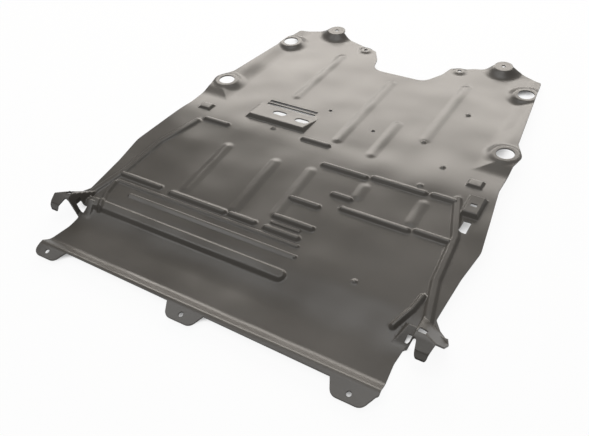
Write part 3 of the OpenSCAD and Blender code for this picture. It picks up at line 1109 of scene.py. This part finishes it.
        points = np.concatenate([np.column_stack([plan, top]), np.column_stack([plan, under]), *rows])
        walls = [np.column_stack([a[:, 0], b[:, 0], b[:, 1], a[:, 1]]) for a, b in zip(numbers, numbers[1:])]
        turned = triangles[:, ::-1]
        faces = [*triangles.tolist(), *(turned + n).tolist(), *np.concatenate(walls).tolist()]
        first, second = index.T
        corners = [up[triangles], down[turned]]
        for a, b in zip(normals, normals[1:]):
            corners.append(np.stack([a[first], b[first], b[second], a[second]], axis=1))
        return points, faces, np.concatenate([k.reshape(-1, 3) for k in corners])

    def build(self) -> bpy.types.Object:
        """Puts the sheet into the scene as one closed mesh, dressed in its finish.

        Returns:
            The finished object.
        """
        points, faces, normals = self.surface()
        mesh = bpy.data.meshes.new("moulded_sheet")
        mesh.from_pydata(self.place(points).tolist(), [], faces)
        mesh.polygons.foreach_set("use_smooth", np.ones(len(faces), dtype=bool))
        mesh.normals_split_custom_set(normals.tolist())
        mesh.materials.append(self.finish.material())
        sheet = bpy.data.objects.new("moulded_sheet", mesh)
        bpy.context.scene.collection.objects.link(sheet)
        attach(sheet, "root")
        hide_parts("splash_shield")
        log.info("moulded_sheet: %d points, %d faces", len(points), len(faces))
        return sheet


@dataclass(frozen=True)
class Softbox:
    """A soft rectangular lamp that faces the middle of the object, with its lengths in metres and its watts."""

    name: str
    at: Triple
    size: Pair
    power: float
    tint: Triple = (1.0, 1.0, 1.0)

    def build(self) -> None:
        """Hangs the lamp up."""
        light = bpy.data.lights.new(self.name, "AREA")
        light.shape = "RECTANGLE"
        light.size, light.size_y = self.size
        light.energy = self.power
        light.color = self.tint
        lamp = bpy.data.objects.new(self.name, light)
        facing = (-Vector(self.at)).to_track_quat("-Z", "Y").to_matrix().to_4x4()
        lamp.matrix_world = Matrix.Translation(self.at) @ facing
        bpy.context.scene.collection.objects.link(lamp)
        log.info("%s: %.0f W", self.name, self.power)


@dataclass(frozen=True)
class PaleFloor:
    """A wide level floor that the object lies on. Its lengths are metres."""

    half: float = 12.0
    grey: float = 0.86
    roughness: float = 0.9
    white: float = 0.93
    shade_reach: float = 0.12
    shade_range: Pair = (0.04, 0.22)

    def material(self) -> bpy.types.Material:
        """A grey matt floor, seen mostly white by the camera and in reflections where it lies open.

        White light is mixed in for those rays alone. Its share grows with how open the place is to the sky, so
        it is dark where the object covers it closely, and the floor keeps the object's shadow.

        Returns:
            The material.
        """
        material = bpy.data.materials.new("pale_floor")
        material.use_nodes = True
        nodes, links = material.node_tree.nodes, material.node_tree.links
        shader = nodes["Principled BSDF"]
        shader.inputs["Base Color"].default_value = (self.grey, self.grey, self.grey, 1.0)
        shader.inputs["Roughness"].default_value = self.roughness
        rays = nodes.new("ShaderNodeLightPath")
        seen = nodes.new("ShaderNodeMath")
        seen.operation = "MAXIMUM"
        links.new(rays.outputs["Is Camera Ray"], seen.inputs[0])
        links.new(rays.outputs["Is Glossy Ray"], seen.inputs[1])
        open_sky = nodes.new("ShaderNodeAmbientOcclusion")
        open_sky.inputs["Distance"].default_value = self.shade_reach
        whitened = nodes.new("ShaderNodeMapRange")
        whitened.inputs["From Min"].default_value, whitened.inputs["From Max"].default_value = self.shade_range
        whitened.inputs["To Max"].default_value = self.white
        links.new(open_sky.outputs["AO"], whitened.inputs["Value"])
        share = nodes.new("ShaderNodeMath")
        share.operation = "MULTIPLY"
        links.new(whitened.outputs["Result"], share.inputs[0])
        links.new(seen.outputs[0], share.inputs[1])
        white = nodes.new("ShaderNodeEmission")
        mix = nodes.new("ShaderNodeMixShader")
        links.new(share.outputs[0], mix.inputs["Fac"])
        links.new(shader.outputs[0], mix.inputs[1])
        links.new(white.outputs[0], mix.inputs[2])
        links.new(mix.outputs[0], nodes["Material Output"].inputs["Surface"])
        return material

    def build(self) -> None:
        """Lays the floor at the height of nought."""
        r = self.half
        mesh = bpy.data.meshes.new("floor")
        mesh.from_pydata([(-r, -r, 0.0), (r, -r, 0.0), (r, r, 0.0), (-r, r, 0.0)], [], [(0, 1, 2, 3)])
        mesh.materials.append(self.material())
        floor = bpy.data.objects.new("floor", mesh)
        bpy.context.scene.collection.objects.link(floor)


@dataclass(frozen=True)
class Viewpoint:
    """The camera, where the photograph was taken from: its place in metres, and its lens in millimetres."""

    eye: Triple = (0.5894, -1.0026, 0.9040)
    yaw: float = math.radians(34.02)
    pitch: float = math.radians(-42.42)
    roll: float = math.radians(5.20)
    lens: float = 36.0 * 700.13 / 589.0

    def build(self) -> None:
        """Turns the camera by its yaw about Z, then its pitch about X, then its roll about its own axis."""
        data = bpy.data.cameras.new("camera")
        data.lens = self.lens
        camera = bpy.data.objects.new("camera", data)
        turn = Matrix.Rotation(self.yaw, 3, "Z") @ Matrix.Rotation(self.pitch, 3, "X")
        turn = turn @ Matrix.Rotation(self.roll, 3, "Y")
        right, forward, up = (turn.col[i] for i in range(3))
        spin = Matrix((right, up, -forward)).transposed()
        camera.matrix_world = Matrix.Translation(self.eye) @ spin.to_4x4()
        bpy.context.scene.collection.objects.link(camera)
        bpy.context.scene.camera = camera


@dataclass
class Studio:
    """The pale floor, the soft light, the even surround and the camera."""

    floor: PaleFloor = field(default_factory=PaleFloor)
    lamps: tuple[Softbox, ...] = (
        Softbox("rear_softbox", (-0.94, 2.77, 1.33), (3.3, 1.5), 86.0, (1.0, 0.945, 0.88)),
        Softbox("top_softbox", (0.1, 0.0, 2.6), (1.6, 1.6), 22.0),
        Softbox("left_softbox", (-1.55, -0.42, 2.5), (1.2, 1.2), 13.0),
    )
    surround: float = 0.30
    viewpoint: Viewpoint = field(default_factory=Viewpoint)

    def world(self) -> None:
        """An even white surround."""
        world = bpy.data.worlds.new("surround")
        bpy.context.scene.world = world
        world.use_nodes = True
        shade = world.node_tree.nodes["Background"]
        shade.inputs["Color"].default_value = (1.0, 1.0, 1.0, 1.0)
        shade.inputs["Strength"].default_value = self.surround

    def build(self) -> None:
        """Puts up the floor, the lamps, the surround and the camera."""
        self.floor.build()
        for lamp in self.lamps:
            lamp.build()
        self.world()
        self.viewpoint.build()


def main() -> None:
    """Builds the shield and the studio."""
    logging.basicConfig(level=logging.INFO)
    bpy.context.scene.view_settings.view_transform = "Standard"
    SplashShield().build()
    Studio().build()
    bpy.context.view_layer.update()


if __name__ == "__main__":
    main()
